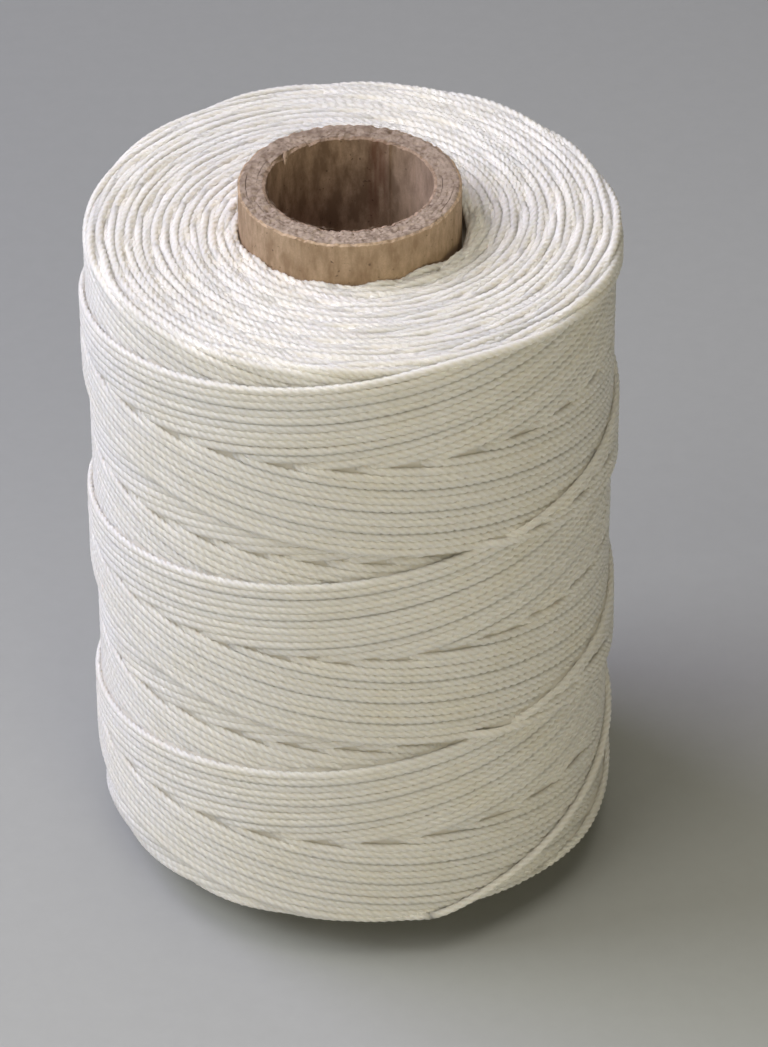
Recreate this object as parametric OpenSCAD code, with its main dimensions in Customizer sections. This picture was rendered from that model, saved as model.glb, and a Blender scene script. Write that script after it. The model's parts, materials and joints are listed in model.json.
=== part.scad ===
// Waxed thread spool: a plain paper tube cross-wound with one length of twisted thread.
// The origin is the centre of the tube's lower end, and the tube's axis runs along +Z.
// Azimuth is counted anticlockwise seen from above, and 0 is the side that faces -Y.

/* [Paper tube] */
// Bore of the tube, which slips over a winder's or a bench stand's spindle
bore_d = 19.05; // [18.5:0.05:20]
// Thickness of the whole tube wall
wall_t = 3.175; // [2.7:0.025:3.6]
// Length of the tube
tube_l = 88.9; // [84:0.1:100]
// Thickness of the thin paper ply that lines the bore
liner_t = 0.35; // [0.2:0.05:0.5]
// Thickness of the smooth kraft ply on the outside
outer_ply_t = 0.3; // [0.2:0.05:0.5]
// Lengthwise gap where the two edges of a ply meet
seam_w = 0.3; // [0.1:0.05:0.6]
// Azimuth of the lining's seam, on the far inside wall a little right of the middle
liner_seam_azimuth = 151; // [0:1:359]
// Turn from the seam of one ply to the seam of the next
seam_turn = 137; // [30:1:180]

/* [Wound thread] */
// Diameter over the wound thread, without the last wrap
package_d = 61.2; // [56:0.2:66]
// Height of the wound thread
package_h = 78.2; // [70:0.2:80]
// Width of the laid thread
thread_w = 1; // [0.6:0.05:1.2]
// Thickness of the laid thread, which the winding tension flattens
thread_t = 0.8; // [0.5:0.05:1]
// Rise of the thread over one turn of the package
wind_lead = 27; // [20:0.5:34]

/* [Last wrap and free end] */
// Rise of the last wrap over one turn, steeper because it is laid to finish the spool
last_lead = 50; // [30:1:60]
// Azimuth where the last wrap leaves the lower edge
last_start = 14; // [0:1:60]
// Azimuth where the free end can bend away from the package
end_hinge = 140; // [100:1:180]
// Angle of the package that the free end lies along
end_span = 64; // [20:1:90]

/* [Hidden] */
$fn = 96;

// One node each, so these counts follow the list above.
board_count = 4;
coat_count = 12;

bore_r = bore_d / 2;
tube_r = bore_r + wall_t;
board_t = (wall_t - liner_t - outer_ply_t) / board_count;
package_r = package_d / 2;
package_z = (tube_l - package_h) / 2;
// Radii between coats are kept to hundredths, so that neighbours meet face to face.
function coat_r(index) = round(100 * (tube_r + (package_r - tube_r) * index / coat_count)) / 100;

// Herringbone seams ring the package where rising and falling threads meet, every half lead.
seam_pitch = wind_lead / 2;
seam_groove_r = 0.4;
seam_reach = floor((package_h / 2 - thread_w) / seam_pitch);

// The last wrap rests on the package with a hair of air under it.
rest_gap = 0.04;
wrap_r = package_r + rest_gap + thread_t / 2;
bend_gap = 1.1;
bend_gap_angle = bend_gap / wrap_r * 180 / PI;
sweep_step = 2;
section_sides = 12;
// A nose is half a thickness long, and its rings stand at these angles round its profile.
nose_span = thread_t / 2 / wrap_r * 180 / PI;
nose_angles = [25, 55];

// Colours of the paper plies and of the thread.
kraft = [0.68, 0.56, 0.42];
board_grey = [0.56, 0.49, 0.42];
liner_brown = [0.45, 0.37, 0.31];
ivory = [0.95, 0.94, 0.9];
ivory_shade = [0.9, 0.89, 0.83];

// A full-length ply with one lengthwise seam.
module ply(inner_r, thickness, seam_azimuth) {
    outer_r = inner_r + thickness;
    difference() {
        cylinder(h = tube_l, r = outer_r);
        translate([0, 0, -1]) cylinder(h = tube_l + 2, r = inner_r);
        rotate([0, 0, seam_azimuth - 90])
            translate([inner_r - 1, -seam_w / 2, -1])
                cube([thickness + 2, seam_w, tube_l + 2]);
    }
}

module tube_liner() {
    color(liner_brown) ply(bore_r, liner_t, liner_seam_azimuth);
}

module tube_board(index) {
    color(board_grey)
        ply(bore_r + liner_t + (index - 1) * board_t, board_t, liner_seam_azimuth + index * seam_turn);
}

module tube_outer_ply() {
    color(kraft) ply(tube_r - outer_ply_t, outer_ply_t, liner_seam_azimuth + (board_count + 1) * seam_turn);
}

// The section of one coat, crowned at both ends where the thread turns back.
module coat_section(inner_r, outer_r) {
    crown_r = (outer_r - inner_r) / 2;
    translate([inner_r, crown_r]) square([outer_r - inner_r, package_h - 2 * crown_r]);
    for (z = [crown_r, package_h - crown_r])
        translate([inner_r + crown_r, z]) circle(crown_r);
}

// The thread that is laid while the pattern of turns walks once round the package.
module thread_coat(index) {
    translate([0, 0, package_z]) rotate_extrude() coat_section(coat_r(index - 1), coat_r(index));
}

module inner_coat(index) {
    color(index % 2 == 0 ? ivory : ivory_shade) thread_coat(index);
}

// The coat that shows on the side, with its herringbone seams.
module outer_coat() {
    color(ivory) difference() {
        thread_coat(coat_count);
        for (k = [-seam_reach : seam_reach])
            translate([0, 0, tube_l / 2 + k * seam_pitch])
                rotate_extrude() translate([package_r, 0]) circle(seam_groove_r);
    }
}

function wrap_z(azimuth) = package_z + thread_w / 2 + (azimuth - last_start) * last_lead / 360;
function wrap_point(azimuth, fullness, around) = [
    (wrap_r + fullness * thread_t / 2 * cos(around)) * cos(azimuth - 90),
    (wrap_r + fullness * thread_t / 2 * cos(around)) * sin(azimuth - 90),
    wrap_z(azimuth) + fullness * thread_w / 2 * sin(around)
];

// A stretch of flattened thread that climbs round the package, with a rounded nose at both ends.
// Each ring is its azimuth and its fullness, which falls towards the tip of a nose.
module laid_thread(from, to) {
    steps = ceil((to - from) / sweep_step);
    rings = concat(
        [for (a = nose_angles) [from - nose_span * cos(a), sin(a)]],
        [for (i = [0 : steps]) [from + (to - from) * i / steps, 1]],
        [for (a = nose_angles) [to + nose_span * sin(a), cos(a)]]
    );
    last = len(rings) - 1;
    points = [
        for (ring = rings)
            for (j = [0 : section_sides - 1])
                wrap_point(ring[0], ring[1], 360 * j / section_sides)
    ];
    start_cap = [[for (j = [section_sides - 1 : -1 : 0]) j]];
    end_cap = [[for (j = [0 : section_sides - 1]) last * section_sides + j]];
    // Each four-sided patch is two triangles, because its corners don't lie on one plane.
    side = [
        for (i = [0 : last - 1])
            for (j = [0 : section_sides - 1])
                let (
                    a = i * section_sides + j,
                    b = i * section_sides + (j + 1) % section_sides
                )
                for (f = [[a, b, a + section_sides], [b, b + section_sides, a + section_sides]]) f
    ];
    polyhedron(points = points, faces = concat(start_cap, side, end_cap));
}

module last_wrap() {
    color(ivory) laid_thread(last_start, end_hinge - bend_gap_angle);
}

// The free end, which bends away from the package at its lower nose.
module thread_end() {
    color(ivory) laid_thread(end_hinge, end_hinge + end_span);
}

tube_liner();
tube_board(1);  // tube_board_1
tube_board(2);  // tube_board_2
tube_board(3);  // tube_board_3
tube_board(4);  // tube_board_4
tube_outer_ply();
inner_coat(1);  // thread_coat_01
inner_coat(2);  // thread_coat_02
inner_coat(3);  // thread_coat_03
inner_coat(4);  // thread_coat_04
inner_coat(5);  // thread_coat_05
inner_coat(6);  // thread_coat_06
inner_coat(7);  // thread_coat_07
inner_coat(8);  // thread_coat_08
inner_coat(9);  // thread_coat_09
inner_coat(10);  // thread_coat_10
inner_coat(11);  // thread_coat_11
outer_coat();  // thread_coat_12
last_wrap();
thread_end();
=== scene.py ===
"""A spool of waxed thread: one length of three-ply thread, cross-wound on a paper tube.

Lengths are in millimetres until a mesh is made, and angles are in degrees.
Azimuth 0 is the side that faces -Y, and azimuth grows anticlockwise seen from above.
A place on the winding path is the angle wound there, counted from the last turn at the top.
"""
import json
import math

import bpy
import numpy as np
from mathutils import Matrix, Vector


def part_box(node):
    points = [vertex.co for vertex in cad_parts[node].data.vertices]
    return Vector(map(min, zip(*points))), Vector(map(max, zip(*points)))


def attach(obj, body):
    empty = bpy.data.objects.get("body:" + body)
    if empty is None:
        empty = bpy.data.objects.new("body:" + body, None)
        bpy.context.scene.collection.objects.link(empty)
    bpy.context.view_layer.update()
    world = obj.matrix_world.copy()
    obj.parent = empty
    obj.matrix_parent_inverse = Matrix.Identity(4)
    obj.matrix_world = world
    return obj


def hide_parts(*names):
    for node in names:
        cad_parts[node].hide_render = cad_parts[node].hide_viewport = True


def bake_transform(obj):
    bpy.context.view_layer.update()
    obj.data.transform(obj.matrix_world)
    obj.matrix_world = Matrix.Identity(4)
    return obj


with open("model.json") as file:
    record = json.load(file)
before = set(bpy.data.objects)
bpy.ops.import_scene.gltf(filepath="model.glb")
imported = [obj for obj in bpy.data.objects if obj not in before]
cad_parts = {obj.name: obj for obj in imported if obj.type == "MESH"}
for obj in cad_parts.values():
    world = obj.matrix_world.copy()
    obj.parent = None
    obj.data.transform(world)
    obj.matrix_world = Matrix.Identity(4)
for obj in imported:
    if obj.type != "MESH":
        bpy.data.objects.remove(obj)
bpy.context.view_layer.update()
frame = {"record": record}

MM = 0.001
rng = np.random.default_rng(12)


# ---------------------------------------------------------------- sizes from the frame

def box_mm(node):
    low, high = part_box(node)
    return np.array(low) / MM, np.array(high) / MM


def outer_radius(node):
    return box_mm(node)[1][0]


mounts = {mount["name"]: mount for mount in frame["record"]["mounts"]}
BORE_R = mounts["tube_bore"]["dims"]["r_mm"]
TUBE_R = outer_radius("tube_outer_ply")
TUBE_TOP = box_mm("tube_outer_ply")[1][2]
PACKAGE_R = outer_radius("thread_coat_12")
PACKAGE_LOW = box_mm("thread_coat_12")[0][2]
PACKAGE_HIGH = box_mm("thread_coat_12")[1][2]
PACKAGE_MID = (PACKAGE_LOW + PACKAGE_HIGH) / 2


# ---------------------------------------------------------------- how the thread is wound

# Two layers of thread, one rising and one falling, make a coat.
COATS = 12
THREAD_W = 1.0
LAYER_T = (PACKAGE_R - TUBE_R) / (2 * COATS)

# A double traverse goes down and up again. It ends a little short of six whole turns, so the places
# where the thread turns back walk round the package, and after CYCLE double traverses a coat is full.
PASS_SHIFT = 13.4
DOUBLE = 6 * 360 - PASS_SHIFT
HALF = DOUBLE / 2
CYCLE = 360 / PASS_SHIFT
PATH_END = HALF
PATH_START = PATH_END - COATS * CYCLE * DOUBLE

# Azimuth of the last turn at the top, where the path is 0.
LAST_TOP = 33

# Heights of the thread's centre line at its turns, the length of path over which it bends back
# there, and its rise for each degree between them.
TOP_CENTRE = PACKAGE_HIGH - THREAD_W / 2 + 0.2
LOW_CENTRE = PACKAGE_LOW + THREAD_W / 2 - 0.65
TOP_REACH = 26
LOW_REACH = 36
SLOPE = (TOP_CENTRE - LOW_CENTRE) / (HALF - (TOP_REACH + LOW_REACH) / 2)

# How many cycles older or newer the crossing thread gets with each degree along the path.
WEAVE = 2 * (1 / PASS_SHIFT + 1 / DOUBLE) / CYCLE

# How long the thread takes to climb onto newer thread: on the side, and the extra at a turn.
CLIMB_SPREAD = 0.022
TURN_SPREAD = 0.05
TURN_SPREAD_REACH = 30

# Every second turn slips one layer inward over this much of its path.
SLIP_REACH = 16

# An arc on an end face runs this far to both sides of its turn.
ARC_REACH = 27

# The last wrap leaves the lower edge at one azimuth and ends in the free end at another. It rises by
# so much for each degree, and the free end bends at its hinge over a few degrees.
WRAP_START = 17
WRAP_END = 204
WRAP_RISE = 50 / 360

# Between these azimuths the innermost turns stand off the tube and leave a crevice.
CREVICE = (52, 112)


def bell(distance, width):
    """1 at no distance, falling softly to 0 past this width."""
    return np.exp(-((distance / width) ** 2))


def eased(share):
    """A share from 0 to 1, with a soft start and a soft end."""
    return share * share * (3 - 2 * share)


def fall(distance, reach):
    """How far the thread is from an end, at a distance along its path from its turn."""
    d = np.abs(distance)
    return np.where(d < reach, SLOPE * d * d / (2 * reach), SLOPE * (d - reach / 2))


def unfall(depth, reach):
    """The distance along the path from the turn at which the thread is this far from the end."""
    near = np.sqrt(np.maximum(depth, 0) * 2 * reach / SLOPE)
    return np.where(near < reach, near, depth / SLOPE + reach / 2)


def from_top_turn(path):
    """Signed distance along the path from the nearest turn at the top."""
    return path - np.round(path / DOUBLE) * DOUBLE


def from_any_turn(path):
    """Distance along the path from the nearest turn at either end."""
    d = np.abs(from_top_turn(path))
    return np.minimum(d, HALF - d)


def height(path):
    """Height of the thread's centre line at each place on its path."""
    d = np.abs(from_top_turn(path))
    return np.where(d < HALF / 2, TOP_CENTRE - fall(d, TOP_REACH), LOW_CENTRE + fall(HALF - d, LOW_REACH))


def stagger(weave, spread):
    """The height of the weave in layers: it sinks evenly, then climbs one layer onto the newest thread."""
    f = weave - np.round(weave)
    return -f - (1 - eased(np.clip((f / spread + 1) / 2, 0, 1)))


def alternate(path):
    """1 at every second turn of an end, where the thread slips one layer further in, and 0 elsewhere."""
    return np.mod(np.floor(np.round(path / HALF) / 2), 2)


def surface_radius(path):
    """Radius of the thread's outer side at each place on its path, as it is laid."""
    to_turn = from_any_turn(path)
    spread = CLIMB_SPREAD + TURN_SPREAD * bell(to_turn, TURN_SPREAD_REACH)
    laid = (path - PATH_START) / DOUBLE / CYCLE
    radius = TUBE_R + LAYER_T * (1 + 2 * laid + stagger(from_top_turn(path) * WEAVE, spread))
    slipped = alternate(path) * bell(to_turn, SLIP_REACH)
    return np.maximum(radius - LAYER_T * slipped, TUBE_R + LAYER_T)


def ages(azimuth, z):
    """How many double traverses ago rising and falling thread last covered a place on the side."""
    from_top = TOP_CENTRE - z
    from_low = z - LOW_CENTRE
    d = np.where(from_top < from_low, unfall(from_top, TOP_REACH), HALF - unfall(from_low, LOW_REACH))
    falling = (LAST_TOP + d - azimuth) / PASS_SHIFT
    rising = (LAST_TOP - d - azimuth) / PASS_SHIFT
    age_falling = np.mod((PATH_END - d) / DOUBLE - falling, CYCLE)
    age_rising = np.mod((PATH_END + d) / DOUBLE - rising, CYCLE)
    return age_rising, age_falling


def final_radius(azimuth, z):
    """Radius of the finished package at a place on its side."""
    age_rising, age_falling = ages(azimuth, z)
    return PACKAGE_R + LAYER_T * (1 - (age_rising + age_falling) / CYCLE)


def seen_on_side(path):
    """True where the thread isn't covered by thread laid later, with a little left under its neighbours."""
    tuck = 2.2
    left = (PATH_END - path) / DOUBLE
    cover = np.mod(-from_top_turn(path) * WEAVE * CYCLE, CYCLE)
    return (left < cover + tuck) & (left < CYCLE + tuck)


# ---------------------------------------------------------------- thread as three twisted plies

# The section has this many corners, and a ring of them stands at every step along the thread.
SIDES = 12
RING_STEP = 0.45

# Length of thread in which its plies turn once round, and how far a ply's centre is from the
# thread's, as a share of the thread's radius.
PLY_TWIST = 3.2
LOBE_OFFSET = 0.36

# Half the thread's thickness and width: flattened on the side, and round where it turns.
TURN_HALF_T = 0.56
SIDE_HALF_T = 0.58 * LAYER_T
HALF_W = 0.6 * THREAD_W
TURNING_REACH = 22

# How far the thread strays from its line, on the side and extra at a turn, and over what length.
STRAY_OUT = (0.02, 0.07, 9)
STRAY_UP = (0.035, 0.03, 14)


def lobed(angle):
    """Radius of the three-ply section, as a share of its full radius."""
    psi = np.mod(angle + math.pi / 3, 2 * math.pi / 3) - math.pi / 3
    r = 1 - LOBE_OFFSET
    return LOBE_OFFSET * np.cos(psi) + np.sqrt(r * r - (LOBE_OFFSET * np.sin(psi)) ** 2)


STRAND = 2 * math.pi * np.arange(SIDES) / SIDES
STRAND_R = lobed(STRAND)


def polar(azimuth, radius, z):
    """Points from azimuth, radius and height."""
    a = np.radians(azimuth)
    return np.stack([radius * np.sin(a), -radius * np.cos(a), z], -1)


def unit(vectors):
    """The same directions with a length of 1."""
    return vectors / np.linalg.norm(vectors, axis=1, keepdims=True)


def square_to(vectors, tangent):
    """The part of each vector that is square to the tangent there."""
    return vectors - tangent * (vectors * tangent).sum(1, keepdims=True)


def rings_along(azimuth, radius, z, half_t, half_w, start_turn):
    """Rings of the twisted section along a centre line, how far along each is, and its corners' turn."""
    centre = polar(azimuth, radius, z)
    tangent = unit(np.gradient(centre, axis=0))
    out = polar(azimuth, np.ones_like(radius), np.zeros_like(radius))
    out = unit(square_to(out, tangent))
    side = np.cross(tangent, out)
    along = np.concatenate([[0], np.cumsum(np.linalg.norm(np.diff(centre, axis=0), axis=1))])
    turn = start_turn + 2 * math.pi * along[:, None] / PLY_TWIST + STRAND[None, :]
    outward = (half_t[:, None] * STRAND_R * np.cos(turn))[..., None]
    sideways = (half_w[:, None] * STRAND_R * np.sin(turn))[..., None]
    return centre[:, None, :] + outward * out[:, None, :] + sideways * side[:, None, :], along, turn


def mesh_object(name, points, faces_flat, loop_start, material, marks=None, smooth=None):
    """A mesh object from points in millimetres and flat face lists, smooth unless told otherwise."""
    mesh = bpy.data.meshes.new(name)
    mesh.vertices.add(len(points))
    mesh.vertices.foreach_set("co", (points * MM).astype(np.float32).ravel())
    mesh.loops.add(len(faces_flat))
    mesh.loops.foreach_set("vertex_index", faces_flat.astype(np.int32))
    mesh.polygons.add(len(loop_start))
    mesh.polygons.foreach_set("loop_start", loop_start.astype(np.int32))
    smooth = np.ones(len(loop_start), bool) if smooth is None else smooth
    mesh.polygons.foreach_set("use_smooth", smooth)
    for key, values in (marks or {}).items():
        kind, field = ("FLOAT_VECTOR", "vector") if values.ndim == 2 else ("FLOAT", "value")
        attribute = mesh.attributes.new(key, kind, "POINT")
        attribute.data.foreach_set(field, values.astype(np.float32).ravel())
    mesh.update(calc_edges=True)
    mesh.materials.append(material)
    piece = bpy.data.objects.new(name, mesh)
    bpy.context.scene.collection.objects.link(piece)
    return piece


def thread_mesh(name, stretches, material):
    """One object from many stretches of thread, each a closed sweep with a cap at both ends."""
    points, faces, sizes, fibre, groove, tone = [], [], [], [], [], []
    base = 0
    corner = np.arange(SIDES)
    following = np.roll(corner, -1)
    depth = (1 - STRAND_R) / (1 - STRAND_R).max()
    for rings, along, turn, shade in stretches:
        n = len(rings)
        first = base + SIDES * np.arange(n - 1)[:, None]
        quads = np.stack([first + corner, first + following,
                          first + SIDES + following, first + SIDES + corner], -1)
        faces += [quads.ravel(), base + corner[::-1], base + SIDES * (n - 1) + corner]
        sizes += [np.full((n - 1) * SIDES, 4), np.array([SIDES, SIDES])]
        points.append(rings.reshape(-1, 3))
        fibre.append(np.stack([np.cos(turn).ravel(), np.sin(turn).ravel(), np.repeat(along, SIDES)], -1))
        groove.append(np.tile(depth, n))
        tone.append(np.repeat(np.broadcast_to(shade, n), SIDES))
        base += n * SIDES
    sizes = np.concatenate(sizes)
    starts = np.concatenate([[0], np.cumsum(sizes)[:-1]])
    marks = {"fibre": np.concatenate(fibre), "groove": np.concatenate(groove), "tone": np.concatenate(tone)}
    return mesh_object(name, np.concatenate(points), np.concatenate(faces), starts, material, marks,
                       sizes == 4)


def runs(mask):
    """Start and end index of each unbroken run of True."""
    edge = np.diff(np.concatenate([[0], mask.astype(int), [0]]))
    return list(zip(np.nonzero(edge == 1)[0], np.nonzero(edge == -1)[0]))


def smooth_noise(length, spacing, wobble):
    """Smooth random values of about unit size, one for each position along a path."""
    knots = int(length[-1] / spacing) + 4
    values = wobble.normal(size=knots)
    at = length / spacing
    i = at.astype(int)
    f = eased(at - i)
    return values[i] * (1 - f) + values[i + 1] * f


def stray(amounts, turning, travelled, wobble):
    """How far the thread strays from its line at each place: the amounts on the side and at a turn."""
    on_side, at_turn, spacing = amounts
    return (on_side + at_turn * turning) * smooth_noise(travelled, spacing, wobble)


def laid_line(path, wobble):
    """Azimuth, centre radius, height and half sizes of the thread along part of its winding path."""
    turning = bell(from_any_turn(path), TURNING_REACH)
    half_t = SIDE_HALF_T + (TURN_HALF_T - SIDE_HALF_T) * turning
    half_w = HALF_W + (TURN_HALF_T - HALF_W) * turning
    radius = surface_radius(path) - half_t
    travelled = np.radians(path - path[0]) * radius.mean()
    radius = radius + stray(STRAY_OUT, turning, travelled, wobble)
    z = height(path) + stray(STRAY_UP, turning, travelled, wobble)
    return LAST_TOP + path, radius, z, half_t, half_w


def twisted(line, wobble):
    """Rings of thread along a line, with the shade of this stretch."""
    return *rings_along(*line, wobble.uniform(0, 2 * math.pi)), wobble.uniform(0, 1)


def ring_count(reach, radius):
    """How many rings an arc needs that runs this many degrees to both sides of its middle."""
    return int(2 * math.radians(reach) * radius / RING_STEP)


def end_stretches(coat, wobble):
    """The arcs of one coat that show on the two end faces."""
    low = PATH_START + (coat - 1) * CYCLE * DOUBLE
    high = low + CYCLE * DOUBLE
    found = []
    for turn in np.arange(math.ceil(low / HALF), math.ceil(high / HALF)) * HALF:
        at_top = abs(from_top_turn(turn)) < 1
        if PATH_END - turn < (CYCLE + 1) * DOUBLE or (coat == 1 and at_top):
            continue
        radius = surface_radius(np.array([turn]))[0]
        off = np.linspace(-ARC_REACH, ARC_REACH, ring_count(ARC_REACH, radius))
        line = list(laid_line(turn + off, wobble))
        line[1] = line[1] - LAYER_T * alternate(turn) * (1 - bell(off, SLIP_REACH))
        level = fall(off, TOP_REACH) - fall(ARC_REACH, TOP_REACH) * np.abs(off / ARC_REACH) ** 3
        line[2] = line[2] + (level if at_top else -level)
        found.append(twisted(line, wobble))
    if coat == 1:
        found += scalloped_turns(wobble)
    return found


def scalloped_turns(wobble):
    """The innermost turns at the top: few and sharp, so that the thread meets the tube in scallops.

    There are two rows of them. The inner row leaves out the crevice.
    """
    reach, bend, lean = 26, 5, 7
    first_tip, last_tip, row_shift = -14.0, 340, 11
    crevice_margin = 12
    off = np.linspace(-reach, reach, ring_count(reach, TUBE_R))
    travelled = np.radians(off + reach) * TUBE_R
    half = np.full(len(off), TURN_HALF_T * 0.95)
    found = []
    for row, (gap, lift) in enumerate(((0.42, 0.3), (1.2, 0.0))):
        tip = first_tip + row_shift * row
        while tip < last_tip + row_shift * row:
            if row or not CREVICE[0] - crevice_margin < tip < CREVICE[1] + crevice_margin:
                z = TOP_CENTRE + lift - SLOPE * (np.hypot(off, bend) - bend)
                z = z + 0.08 * smooth_noise(travelled, 6, wobble)
                radius = TUBE_R + gap + 0.2 * np.tanh(off / lean) + 0.04 * smooth_noise(travelled, 5, wobble)
                found.append(twisted((tip + off, radius, z, half, half), wobble))
            tip += wobble.uniform(22, 36)
    return found


def side_stretches(wobble):
    """The thread that shows on the side, oldest first, with its turns at both ends."""
    step = math.degrees(RING_STEP / PACKAGE_R)
    path = np.arange(PATH_END - (CYCLE + 1) * DOUBLE, PATH_END, step)
    shown = seen_on_side(path) | (from_any_turn(path) < ARC_REACH)
    return [sunk_ends(laid_line(path[a:b], wobble)) for a, b in runs(shown) if b - a > 4]


def sunk_ends(line):
    """The same stretch of thread, with both its ends a little deeper, so that they stay covered."""
    depth, reach = 0.5, 9
    azimuth, radius, *others = line
    to_end = np.minimum(azimuth - azimuth[0], azimuth[-1] - azimuth)
    return azimuth, radius - depth * np.clip(1 - to_end / reach, 0, 1) ** 2, *others


def smoothed(values, window):
    """A running mean that keeps the length of the list."""
    padded = np.pad(values, window, mode="edge")
    return np.convolve(padded, np.ones(2 * window + 1) / (2 * window + 1), "valid")


def extended(values, count):
    """The list with its last value repeated this many more times."""
    return np.concatenate([values, np.full(count, values[-1])])


def with_last_wrap(line):
    """The newest stretch, carried past its last turn and up round the package over all the others.

    First its height settles onto the wrap's own line, and then it climbs onto the outermost coat.
    """
    settle_ahead, settle_run = 45, 20
    climb_ahead, climb_run = 8, 14
    corner_rounding = 0.15
    support_reach = 3
    tip_length = 1.4
    azimuth, radius, z, half_t, half_w = line
    lap = azimuth[-1] - (LAST_TOP + PATH_END) % 360
    step = azimuth[1] - azimuth[0]
    beyond = np.arange(azimuth[-1] + step, lap + WRAP_END, step)
    radius, z, half_t, half_w = (extended(v, len(beyond)) for v in (radius, z, half_t, half_w))
    at = np.concatenate([azimuth, beyond]) - lap
    last_turn = azimuth[-1] - lap
    settling = np.clip((at - WRAP_START + settle_ahead) / settle_run, 0, 1)
    sinking = fall(np.maximum(last_turn - at, 0), LOW_REACH)
    rising = WRAP_RISE * (at - WRAP_START)
    risen = LOW_CENTRE + (sinking + rising + np.hypot(sinking - rising, corner_rounding)) / 2
    z = z * (1 - settling) + risen * settling
    support = smoothed(final_radius(at, np.maximum(z, LOW_CENTRE)), int(support_reach / step))
    over = eased(np.clip((at - WRAP_START + climb_ahead) / climb_run, 0, 1))
    radius = radius * (1 - over) + (support + 0.55 * half_t) * over
    tip = np.clip(1 - (at[-1] - at) * math.radians(PACKAGE_R) / tip_length, 0, 1)
    return at + lap, radius, z, half_t * (1 + 0.15 * tip), half_w * (1 - 0.18 * over + 0.2 * tip)


# ---------------------------------------------------------------- materials

class Material:
    """A material being built: short ways to add the nodes that the finishes share."""

    def __init__(self, name):
        self.material = bpy.data.materials.new(name)
        self.material.use_nodes = True
        self.tree = self.material.node_tree
        self.shader = self.tree.nodes["Principled BSDF"]

    def node(self, kind, inputs=None, **settings):
        made = self.tree.nodes.new(kind)
        for key, value in settings.items():
            setattr(made, key, value)
        for key, value in (inputs or {}).items():
            self.put(made.inputs[key], value)
        return made

    def put(self, socket, value):
        if isinstance(value, bpy.types.NodeSocket):
            self.tree.links.new(value, socket)
        else:
            socket.default_value = value

    def put_colour(self, socket, value):
        self.put(socket, value if isinstance(value, bpy.types.NodeSocket) else (*value, 1))

    def attribute(self, name, output):
        return self.node("ShaderNodeAttribute", attribute_name=name).outputs[output]

    def place(self, scale=(1, 1, 1)):
        """Where a point is, in millimetres times a scale for each axis."""
        point = self.node("ShaderNodeTexCoord").outputs["Object"]
        return self.product(point, tuple(factor / MM for factor in scale))

    def product(self, vector, factors):
        return self.node("ShaderNodeVectorMath", {0: vector, 1: factors}, operation="MULTIPLY").outputs[0]

    def coordinate(self, vector, axis):
        return self.node("ShaderNodeSeparateXYZ", {0: vector}).outputs[axis]

    def noise(self, vector, scale, detail=2.0, rough=0.5):
        made = self.node("ShaderNodeTexNoise", {"Vector": vector, "Scale": scale, "Detail": detail,
                                                "Roughness": rough})
        return made.outputs["Fac"]

    def spread(self, value, low, high, to_low=0.0, to_high=1.0):
        """A value's range from low to high, carried over to another range and held at its ends."""
        made = self.node("ShaderNodeMapRange", {"Value": value, "From Min": low, "From Max": high,
                                                "To Min": to_low, "To Max": to_high})
        return made.outputs[0]

    def mix(self, factor, a, b):
        made = self.node("ShaderNodeMix", data_type="RGBA")
        self.put(made.inputs[0], factor)
        self.put_colour(made.inputs[6], a)
        self.put_colour(made.inputs[7], b)
        return made.outputs[2]

    def maths(self, operation, a, b):
        return self.node("ShaderNodeMath", {0: a, 1: b}, operation=operation).outputs[0]

    def bump(self, relief, strength, distance_mm):
        made = self.node("ShaderNodeBump", {"Height": relief, "Strength": strength,
                                            "Distance": distance_mm * MM})
        self.put(self.shader.inputs["Normal"], made.outputs[0])

    def finish(self, colour, roughness, **others):
        self.put_colour(self.shader.inputs["Base Color"], colour)
        self.put(self.shader.inputs["Roughness"], roughness)
        for key, value in others.items():
            self.put(self.shader.inputs[key.replace("_", " ")], value)
        return self.material


def thread_material():
    """Bleached ivory yarn: streaks of fibre, wax and painted shade in the grooves between plies and faint
    yellowing.

    A tone from 0 to 1 is the shade of a stretch. Towards 2 the light stops scattering inside, which
    keeps a cut between two pieces of one thread from showing.
    """
    ivory, yellowed = (0.80, 0.785, 0.765), (0.79, 0.765, 0.71)
    shaded, bright_fibre, groove_wax_and_shade = (0.74, 0.72, 0.685), (0.84, 0.83, 0.81), (0.64, 0.58, 0.47)
    m = Material("thread_finish")
    streak = m.noise(m.product(m.attribute("fibre", "Vector"), (1, 1, 0.45)), 5.0, 3.0, 0.6)
    groove = m.attribute("groove", "Fac")
    tone = m.attribute("tone", "Fac")
    patch = m.noise(m.place(), 0.16)
    colour = m.mix(m.spread(patch, 0.45, 0.7), ivory, yellowed)
    colour = m.mix(m.spread(tone, 0, 1, 0, 0.22), colour, shaded)
    colour = m.mix(m.spread(streak, 0.35, 0.75, 0, 0.25), colour, bright_fibre)
    # The grooves between plies are darkened: partly wax, partly painted shade.
    colour = m.mix(m.maths("MULTIPLY", groove, 0.35), colour, groove_wax_and_shade)
    m.bump(streak, 0.35, 0.08)
    m.shader.subsurface_method = "BURLEY"
    return m.finish(colour, m.spread(streak, 0.3, 0.7, 0.30, 0.48), Sheen_Weight=0.1,
                    Subsurface_Weight=m.spread(tone, 1, 2, 0.75, 0),
                    Subsurface_Radius=(1.0, 0.92, 0.8), Subsurface_Scale=1.1 * MM)


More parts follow.
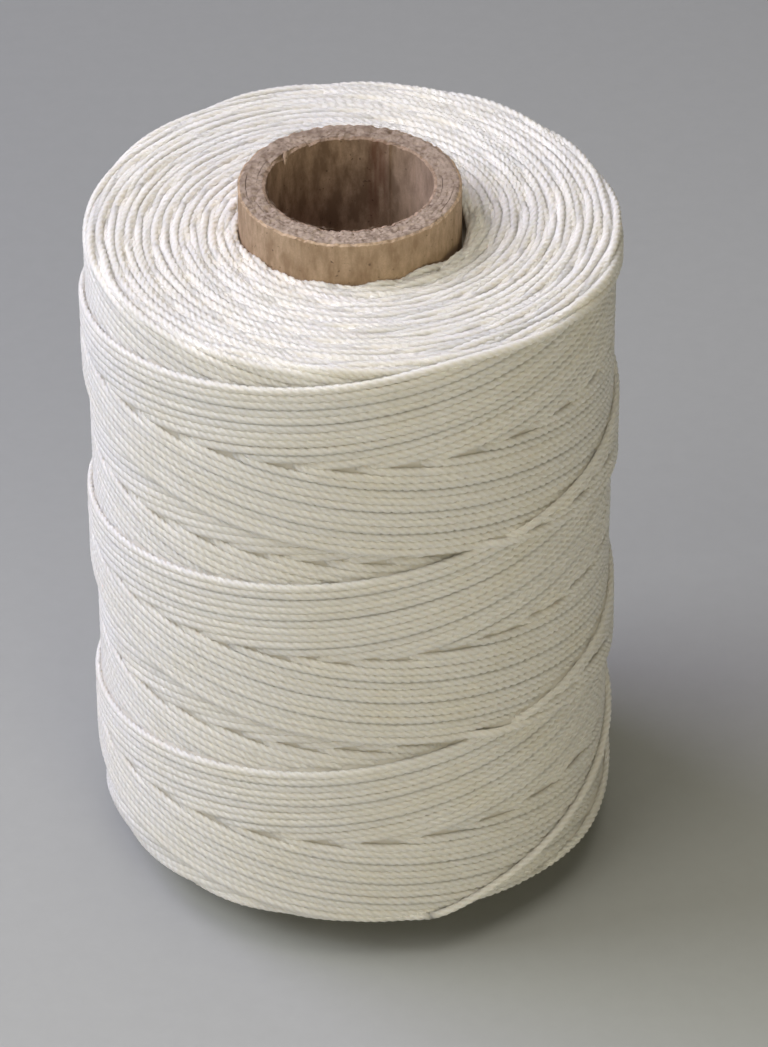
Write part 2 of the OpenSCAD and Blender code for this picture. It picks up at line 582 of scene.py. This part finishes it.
def core_material():
    """The thread lying deeper in the package, seen only through gaps: darker and yellower on the side, and
    pale at the top, where painted light lifts the shade in the gaps between the top rings.
    """
    m = Material("covered_thread")
    grain = m.noise(m.place((1, 1, 3)), 0.9, 3.0)
    side = m.mix(grain, (0.80, 0.755, 0.68), (0.86, 0.82, 0.755))
    # The pale top is painted light, brighter than the thread itself, in the shaded gaps between the top
    # rings.
    top = m.mix(grain, (0.84, 0.82, 0.79), (0.90, 0.89, 0.87))
    near_top = m.spread(m.coordinate(m.place(), "Z"), PACKAGE_HIGH - 1.4, PACKAGE_HIGH - 0.7)
    m.bump(grain, 0.5, 0.15)
    return m.finish(m.mix(near_top, side, top), 0.6)


def paper_material(name, light, dark, fleck, stretch):
    """Paper: cloudy fibre, fine grain and a few dark flecks, paler where worn and where light is painted on,
    and red where stained.
    """
    stain_red = (0.20, 0.085, 0.05)
    m = Material(name)
    cloud = m.noise(m.place((1, 1, stretch)), 0.7, 4.0, 0.62)
    grain = m.noise(m.place((1, 1, min(1, 2 * stretch))), 5.0, 3.0, 0.7)
    dots = m.noise(m.place(), 2.1, 1.0)
    colour = m.mix(m.spread(cloud, 0.36, 0.64), dark, light)
    colour = m.mix(m.spread(grain, 0.35, 0.7, 0, 0.35), colour, dark)
    colour = m.mix(m.spread(dots, 0.70, 0.78, 0, 0.75), colour, fleck)
    # The pale mark carries both real wear at the cuts and painted light.
    wear_and_painted_light = m.maths("MULTIPLY", m.attribute("wear_and_painted_light", "Fac"), 0.5)
    colour = m.mix(wear_and_painted_light, colour, tuple(1.12 * c + 0.02 for c in light))
    colour = m.mix(m.attribute("stain", "Fac"), colour, stain_red)
    fibre = m.noise(m.place(), 3.4, 4.0, 0.8)
    m.bump(m.maths("ADD", m.maths("MULTIPLY", fibre, 0.8), grain), 0.5, 0.1)
    return m.finish(colour, m.spread(grain, 0.3, 0.7, 0.78, 0.95))


# ---------------------------------------------------------------- the thread's pieces

thread = thread_material()


def add_thread(name, stretches, *nodes):
    """A piece made of stretches of thread, which takes the place of one or more of the frame's nodes."""
    piece = thread_mesh(name, stretches, thread)
    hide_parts(*nodes)
    return piece


def outer_coat():
    """The coat that shows: every stretch on the side, and the last wrap with its loose end.

    The newest stretch is cut where the last wrap starts. The rest is shared out over pieces of about
    the same size.
    """
    corners_in_a_piece = 95000
    cut_softness = 0.8
    lines = side_stretches(rng)
    newest = with_last_wrap(lines.pop())
    rings, along, turn, shade = twisted(newest, rng)
    lap = newest[0][-1] - WRAP_END
    cut = int(np.searchsorted(newest[0], lap + WRAP_START))
    shade = shade + 2 * bell(along - along[cut], cut_softness)
    wrap = (rings[cut:], along[cut:], turn[cut:], shade[cut:])
    loose = add_thread("last_wrap_thread", [wrap], "last_wrap", "thread_end")
    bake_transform(loose)
    stretches = [twisted(line, rng) for line in lines]
    stretches.append((rings[:cut + 1], along[:cut + 1], turn[:cut + 1], shade[:cut + 1]))
    total = sum(len(stretch[0]) for stretch in stretches)
    count = math.ceil(total * SIDES / corners_in_a_piece)
    groups = [[] for _ in range(count)]
    taken = 0
    for stretch in stretches:
        groups[taken * count // total].append(stretch)
        taken += len(stretch[0])
    for number, group in enumerate(groups, 1):
        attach(add_thread(f"coat_12_thread_{number}", group, "thread_coat_12"), "spool")


outer_coat()
for coat in range(1, COATS):
    turns = add_thread(f"coat_{coat:02d}_turns", end_stretches(coat, rng), f"thread_coat_{coat:02d}")
    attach(turns, "spool")


def grid_faces(rows, columns):
    """Quads that join a closed grid of points, wrapped both ways."""
    i, j = np.meshgrid(np.arange(rows), np.arange(columns), indexing="ij")
    ni, nj = (i + 1) % rows, (j + 1) % columns
    return np.stack([i * columns + j, i * columns + nj, ni * columns + nj, ni * columns + j], -1).ravel()


def ring_object(name, azimuth, radius, z, material, marks=None):
    """A closed ring from a grid of places, wrapped both round the spool and round its section."""
    faces = grid_faces(*radius.shape)
    starts = np.arange(0, faces.size, 4)
    return mesh_object(name, polar(azimuth, radius, z).reshape(-1, 3), faces, starts, material, marks)


def wound_core():
    """The wound thread under the visible thread, as one closed ring that fills the gaps."""
    depth = 0.88 * LAYER_T
    crevice_w, crevice_depth, crevice_floor_w = 1.9, 2.6, 1.3
    clear = 0.02
    azimuth = np.arange(0, 360, 2.0)
    a, h = np.meshgrid(azimuth, np.linspace(PACKAGE_LOW + 0.1, PACKAGE_HIGH - 0.45, 120))
    outer = final_radius(a, h) - depth
    outer = np.minimum(outer, np.roll(outer, 1, 1))
    outer = np.minimum(outer, np.roll(outer, -1, 1))
    middle = (CREVICE[0] + CREVICE[1]) / 2
    dip = crevice_depth / (1 + np.exp((np.abs(azimuth - middle) - (CREVICE[1] - middle)) / 2.5))[None, :]
    ring = np.full_like(dip, TUBE_R)
    inward = np.linspace(0, 1, 180)[1:-1, None]
    face = outer[-1:] + (TUBE_R + crevice_w - outer[-1:]) * inward
    waves = 0.15 + 0.1 * np.cos(2 * math.pi * (face - TUBE_R) / LAYER_T)
    radius = np.concatenate([ring + clear, outer, face, ring + crevice_w, ring + crevice_floor_w,
                             ring + clear])
    top = h[-1:]
    z = np.concatenate([h[:1], h, top + waves, top, top - dip, top - dip - 0.3])
    core = ring_object("wound_core", np.broadcast_to(azimuth, radius.shape), radius, z, core_material())
    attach(core, "spool")


wound_core()


# ---------------------------------------------------------------- the paper tube

BOARDS = 4
PLY_NODES = ["tube_liner"] + [f"tube_board_{i}" for i in range(1, BOARDS + 1)] + ["tube_outer_ply"]
PLY_RADII = [BORE_R] + [outer_radius(node) for node in PLY_NODES]

# Azimuth of the lining's seam, and how much further round the next ply's seam is each time.
LINER_SEAM = 151
SEAM_TURN = 137

# The lining's edge overlaps by this much, over this many degrees; the red stripe runs along it.
SEAM_STEP = 0.14
SEAM_WIDTH = 9
STRIPE_WIDTH = 6

# Where the lining is torn at the rim, how deep and how wide, and where painted light makes the bore's wall
# pale.
TEAR_AZIMUTH = 231
TEAR_DEPTH = 0.5
TEAR_WIDTH = 8
BORE_LIGHT_AZIMUTH = 108
BORE_LIGHT_WIDTH = 40

# How far fraying and paleness reach from a cut, the least gap between two plies, and the room that
# the lining's seam has towards the bore.
FRAY_REACH = 0.45
PALE_REACH = 0.22
PLY_GAP = 0.004
SEAM_ROOM = 0.2

# Seeds of the paper's unevenness: the cut rim shares one, and each ply has its own.
RIM_SEED = 41
PLY_SEED = 40
PLY_SEED_STEP = 7


def grain(around, up, cells, cell_up, seed):
    """Smooth random values of about unit size over a wrapped surface; around runs from 0 to 1."""
    rows = 64
    values = np.random.default_rng(seed).normal(size=(cells, rows))
    x, y = around * cells, up / cell_up
    i, j = np.floor(x).astype(int), np.floor(y).astype(int)
    fx, fy = eased(x - i), eased(y - j)
    low = values[i % cells, j % rows] * (1 - fx) + values[(i + 1) % cells, j % rows] * fx
    high = values[i % cells, (j + 1) % rows] * (1 - fx) + values[(i + 1) % cells, (j + 1) % rows] * fx
    return low * (1 - fy) + high * fy


def rim_wear(radius):
    """How far both edges of the cut end are rounded down at a radius."""
    outer = 0.24 * np.clip(1 - (TUBE_R - radius) / 0.7, 0, 1) ** 2
    inner = 0.16 * np.clip(1 - (radius - BORE_R) / 0.5, 0, 1) ** 2
    return outer + inner


def ply_section(r_in, r_out, top):
    """Radii and heights of a ply's section, once round: up its inner wall, over the cut and back down."""
    near_cut = np.concatenate([np.arange(0.05, 1.2, 0.16), np.arange(1.3, 7, 0.45), [9, 13, 20, 30]])
    rows_down = np.append(near_cut, top / 2)
    wall = np.concatenate([rows_down, (top - rows_down)[-2::-1]])
    across = np.concatenate([[0, 0.04], np.linspace(0.2, 0.8, 4), [0.96, 1]])
    radii = np.concatenate([np.full(len(wall), r_in), r_in + (r_out - r_in) * across,
                            np.full(len(wall), r_out), r_out + (r_in - r_out) * across])
    heights = np.concatenate([wall, np.full(len(across), top), wall[::-1], np.zeros(len(across))])
    return radii, heights


def cut_wear(around, azimuth, radius, torn_depth, seed):
    """How far the cut rim has worn back: rounded edges, frayed fibre and the tear."""
    fray = 0.045 * grain(around, radius, 420, 0.3, seed) + 0.1 * grain(around, radius, 150, 0.7, RIM_SEED)
    fray = fray + 0.1 * grain(around, radius, 24, 9.0, RIM_SEED + 1)
    torn = torn_depth * bell(azimuth % 360 - TEAR_AZIMUTH, TEAR_WIDTH)
    return 0.08 + rim_wear(radius) + torn + np.abs(fray)


def paper_ply(index, material):
    """One ply of the tube: a closed ring with frayed, worn edges at both cuts."""
    node = PLY_NODES[index]
    lining, wrapper = index == 0, index == len(PLY_NODES) - 1
    seed = PLY_SEED + PLY_SEED_STEP * index
    seam = LINER_SEAM + index * SEAM_TURN
    r_in, r_out = PLY_RADII[index:index + 2]
    top = box_mm(node)[1][2]
    radii, heights = ply_section(r_in, r_out, top)
    columns = 540
    a, r = np.meshgrid(seam + 360 * np.arange(columns) / columns, radii)
    z = np.repeat(heights[:, None], columns, 1)
    around = (a % 360) / 360
    from_cut = np.minimum(z, top - z)
    bore_side = r <= (r_in + r_out) / 2

    # Both cuts are worn back, the upper one more.
    shrink = cut_wear(around, a, r, TEAR_DEPTH if lining else 0, seed) * np.exp(-from_cut / FRAY_REACH)
    z = np.where(z > top / 2, z - shrink, z + 0.6 * shrink)

    # The two walls that show are rippled, and behind the others a gap opens here and there.
    ripple = 0.02 * grain(around, z, 300, 1.1, seed + 3) + 0.035 * grain(around, z, 46, 7.0, seed + 4)
    gap = PLY_GAP + 0.06 * np.clip(grain(around, 0 * r, 16, 9.0, seed + 7) - 0.4, 0, 1)
    showing = np.where(bore_side, lining, wrapper)
    r = r + np.where(showing, 0.8 * ripple - 0.02, -gap * ~bore_side)
    if lining:
        r = r - SEAM_STEP * np.clip(1 - ((a - seam) % 360) / SEAM_WIDTH, 0, 1) * bore_side
    r = np.clip(r, r_in - (SEAM_ROOM if lining else 0), r_out - PLY_GAP)

    # The paper is paler at the cuts, with painted light on the front of the rim and painted shade at its
    # back, paler still where light is painted on the bore's wall, and red along the lining's seam.
    wear_and_painted_light = np.exp(-from_cut / PALE_REACH) * np.clip(0.5 + 0.7 * grain(around, r, 260, 0.25, seed + 5), 0, 1)
    # Painted light and shade: the paleness is strongest at the front of the tube, azimuth 0, and weakest at
    # the back.
    wear_and_painted_light = wear_and_painted_light * (1 + 0.7 * np.cos(np.radians(a)))
    # Painted light: a pale patch on the bore's wall round this azimuth, where the light from the left falls.
    painted_bore_light = np.clip(1.4 - np.abs(a % 360 - BORE_LIGHT_AZIMUTH) / BORE_LIGHT_WIDTH, 0, 1) * bore_side
    wear_and_painted_light = np.maximum(wear_and_painted_light, 0.9 * painted_bore_light * np.clip(0.75 + 0.25 * grain(around, z, 60, 2.0, seed + 8), 0, 1))
    from_stripe = np.abs((a - seam + 180) % 360 - 180 - SEAM_WIDTH)
    patchy = np.clip(0.6 + 0.5 * grain(around, z, 200, 3.0, seed + 6), 0, 1)
    stain = 0.75 * np.clip(1.6 - from_stripe / STRIPE_WIDTH, 0, 1) * patchy * bore_side * lining
    marks = {"wear_and_painted_light": wear_and_painted_light.ravel(), "stain": stain.ravel()}
    piece = ring_object(node + "_paper", a, r, z, material, marks)
    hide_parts(node)
    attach(piece, "spool")
    return piece


liner = paper_material("liner_finish", (0.60, 0.43, 0.32), (0.28, 0.187, 0.127), (0.11, 0.07, 0.05), 0.4)
board = paper_material("board_finish", (0.58, 0.455, 0.365), (0.28, 0.198, 0.15), (0.12, 0.08, 0.06), 1.0)
kraft = paper_material("kraft_finish", (0.71, 0.52, 0.36), (0.44, 0.295, 0.185), (0.14, 0.09, 0.055), 0.4)
PLY_FINISHES = [("liner_paper", liner)] + BOARDS * [("tube_board", board)] + [("kraft_paper", kraft)]
for index, (slot_name, paper) in enumerate(PLY_FINISHES):
    paper_ply(index, paper)


def strip_points(centre, across, thick, width):
    """Corner points of a flat strip swept along a centre line, four to a ring."""
    tangent = unit(np.gradient(centre, axis=0))
    side = unit(square_to(across, tangent))
    up = np.cross(tangent, side)
    corners = ((1, 1), (-1, 1), (-1, -1), (1, -1))
    return np.stack([centre + side * (i * width / 2)[:, None] + up * (j * thick / 2)[:, None]
                     for i, j in corners], 1)


def strips_object(name, strips, material):
    """Many closed four-sided strips as one piece of the spool."""
    points, faces = [], []
    base = 0
    corner = np.arange(4)
    for rings in strips:
        n = len(rings)
        first = base + 4 * np.arange(n - 1)[:, None]
        quads = np.stack([first + corner, first + (corner + 1) % 4, first + 4 + (corner + 1) % 4,
                          first + 4 + corner], -1)
        faces += [quads.ravel(), base + corner[::-1], base + 4 * (n - 1) + corner]
        points.append(rings.reshape(-1, 3))
        base += 4 * n
    points, faces = np.concatenate(points), np.concatenate(faces)
    marks = {"wear_and_painted_light": np.full(len(points), 0.3)}
    piece = mesh_object(name, points, faces, np.arange(0, len(faces), 4), material, marks)
    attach(piece, "spool")


def torn_shred():
    """A shred of liner torn at the inner rim, curled down into the bore."""
    t = np.linspace(0, 1, 14)
    azimuth = TEAR_AZIMUTH - 4 + 7 * t
    radius = BORE_R + 0.45 - 0.95 * t ** 0.8
    z = TUBE_TOP - 0.14 - 0.95 * t ** 1.6
    across = polar(azimuth + 60, np.ones_like(t), 0.15 * t)
    width = 0.6 * (1 - t) ** 0.6 + 0.14 + 0.05 * np.sin(17 * t)
    return strip_points(polar(azimuth, radius, z), across, 0.09 * (1.2 - t), width)


def rim_fibre(wobble):
    """A loose paper fibre standing a little off a cut rim, most often at an edge of the upper one."""
    at_top = wobble.uniform() < 0.8
    azimuth = wobble.uniform(0, 360)
    at_edge = wobble.uniform() < 0.55
    radius = wobble.choice([BORE_R + 0.1, TUBE_R - 0.12]) if at_edge else wobble.uniform(BORE_R, TUBE_R)
    length = wobble.uniform(0.5, 1.7)
    t = np.linspace(0, 1, 7)
    heading = wobble.uniform(0, 2 * math.pi)
    heading = heading + wobble.uniform(-1.2, 1.2) * t
    run = length * t
    turned = np.degrees(run * np.cos(heading) / radius)
    r = np.clip(radius + 0.5 * run * np.sin(heading), BORE_R - 0.1, TUBE_R + 0.12)
    lift = 0.02 + wobble.uniform(0, 0.22) * t * t
    above = lift - rim_wear(r) - 0.1
    centre = polar(azimuth + turned, r, TUBE_TOP + above if at_top else -above)
    across = np.broadcast_to(polar(np.array(azimuth), np.array(1.0), np.array(0.0)), centre.shape)
    thickness = wobble.uniform(0.02, 0.042) * (1 - 0.6 * t)
    return strip_points(centre, across, thickness, thickness)


FIBRES = 260
strips_object("liner_torn_shred", [torn_shred()], liner)
strips_object("rim_fibres", [rim_fibre(rng) for _ in range(FIBRES)], board)


# ---------------------------------------------------------------- stage, lights and camera

# The backdrop's colour, and the place in metres that the lamps are aimed at.
BACKDROP = (0.33, 0.327, 0.323)
LAMP_AIM = Vector((0, 0, 0.045))


def floor():
    """A pale matt floor, with painted light that makes it brighter towards the front, that fades, far from
    the spool, into the plain backdrop that the camera sees.
    """
    half_size = 3.0
    corners = [(i * half_size, j * half_size, 0) for i, j in ((-1, -1), (1, -1), (1, 1), (-1, 1))]
    mesh = bpy.data.meshes.new("floor")
    mesh.from_pydata(corners, [], [(0, 1, 2, 3)])
    m = Material("floor_paper")
    place = m.place()
    paper = m.mix(m.noise(place, 0.35, 4.0, 0.7), (0.398, 0.405, 0.394), (0.432, 0.44, 0.428))
    # Painted light: the floor's colour grows brighter towards the front.
    painted_light_in_front = m.spread(m.coordinate(place, "Y"), 260, -160, 0.9, 1.42)
    m.finish(m.product(paper, painted_light_in_front), 0.9)
    distance = m.node("ShaderNodeVectorMath", {0: place}, operation="LENGTH").outputs["Value"]
    seen = m.node("ShaderNodeLightPath").outputs["Is Camera Ray"]
    fade = m.maths("MULTIPLY", m.spread(distance, 250, 800), seen)
    backdrop = m.node("ShaderNodeEmission", {"Color": (*BACKDROP, 1)}).outputs[0]
    shown = m.node("ShaderNodeMixShader", {0: fade, 1: m.shader.outputs[0], 2: backdrop}).outputs[0]
    m.put(m.tree.nodes["Material Output"].inputs["Surface"], shown)
    mesh.materials.append(m.material)
    obj = bpy.data.objects.new("floor", mesh)
    bpy.context.scene.collection.objects.link(obj)


def area_light(name, position, diameter, power, colour):
    """A soft round light aimed at the middle of the spool."""
    data = bpy.data.lights.new(name, "AREA")
    data.shape = "DISK"
    data.size = diameter
    data.energy = power
    data.color = colour
    lamp = bpy.data.objects.new(name, data)
    lamp.location = position
    lamp.rotation_euler = (LAMP_AIM - Vector(position)).to_track_quat("-Z", "Y").to_euler()
    lamp.visible_camera = False
    bpy.context.scene.collection.objects.link(lamp)


def camera():
    """A long lens above the front, turned a little so that the spool sits left of the middle."""
    elevation = math.radians(36.11)
    distance = 0.6236
    pan, tilt, roll = (math.radians(v) for v in (-0.34, 0.251, -0.485))
    target = Vector((0, 0, PACKAGE_MID * MM))
    forward = Vector((0, math.cos(elevation), -math.sin(elevation)))
    right = Vector((1, 0, 0))
    down = forward.cross(right)
    turn = Matrix.Rotation(roll, 3, "Z") @ Matrix.Rotation(tilt, 3, "X") @ Matrix.Rotation(pan, 3, "Y")
    axes = [row[0] * right + row[1] * down + row[2] * forward for row in turn]
    data = bpy.data.cameras.new("camera")
    data.lens = 182.2
    data.clip_end = 20
    eye = bpy.data.objects.new("camera", data)
    rotation = Matrix((axes[0], -axes[1], -axes[2])).transposed()
    eye.matrix_world = Matrix.Translation(target - forward * distance) @ rotation.to_4x4()
    bpy.context.scene.collection.objects.link(eye)
    bpy.context.scene.camera = eye


def studio_world():
    """A grey room that the camera sees as bright as the floor, and that lights the object only a little."""
    world = bpy.data.worlds.new("studio")
    world.use_nodes = True
    tree = world.node_tree
    seen = tree.nodes.new("ShaderNodeMapRange")
    seen.inputs["To Min"].default_value = 0.09
    seen.inputs["To Max"].default_value = 1.0
    tree.links.new(tree.nodes.new("ShaderNodeLightPath").outputs["Is Camera Ray"], seen.inputs["Value"])
    tree.links.new(seen.outputs[0], tree.nodes["Background"].inputs["Strength"])
    tree.nodes["Background"].inputs["Color"].default_value = (*BACKDROP, 1)
    bpy.context.scene.world = world


floor()
area_light("window", (-1.0, 0.0, 0.8), 0.6, 5.8, (0.92, 0.95, 1.0))
area_light("far_window", (-0.75, 0.42, 1.0), 0.6, 5.6, (0.73, 0.71, 1.0))
area_light("near_window", (-0.7, -0.6, 1.1), 0.7, 3.0, (0.98, 0.96, 0.9))
area_light("ceiling", (0, 0, 1.4), 1.0, 4.3, (1.0, 0.95, 0.82))
area_light("room", (0.42, -1.0, 0.36), 0.6, 2.75, (1.0, 0.93, 0.66))
camera()
studio_world()
bpy.context.scene.view_settings.view_transform = "Standard"
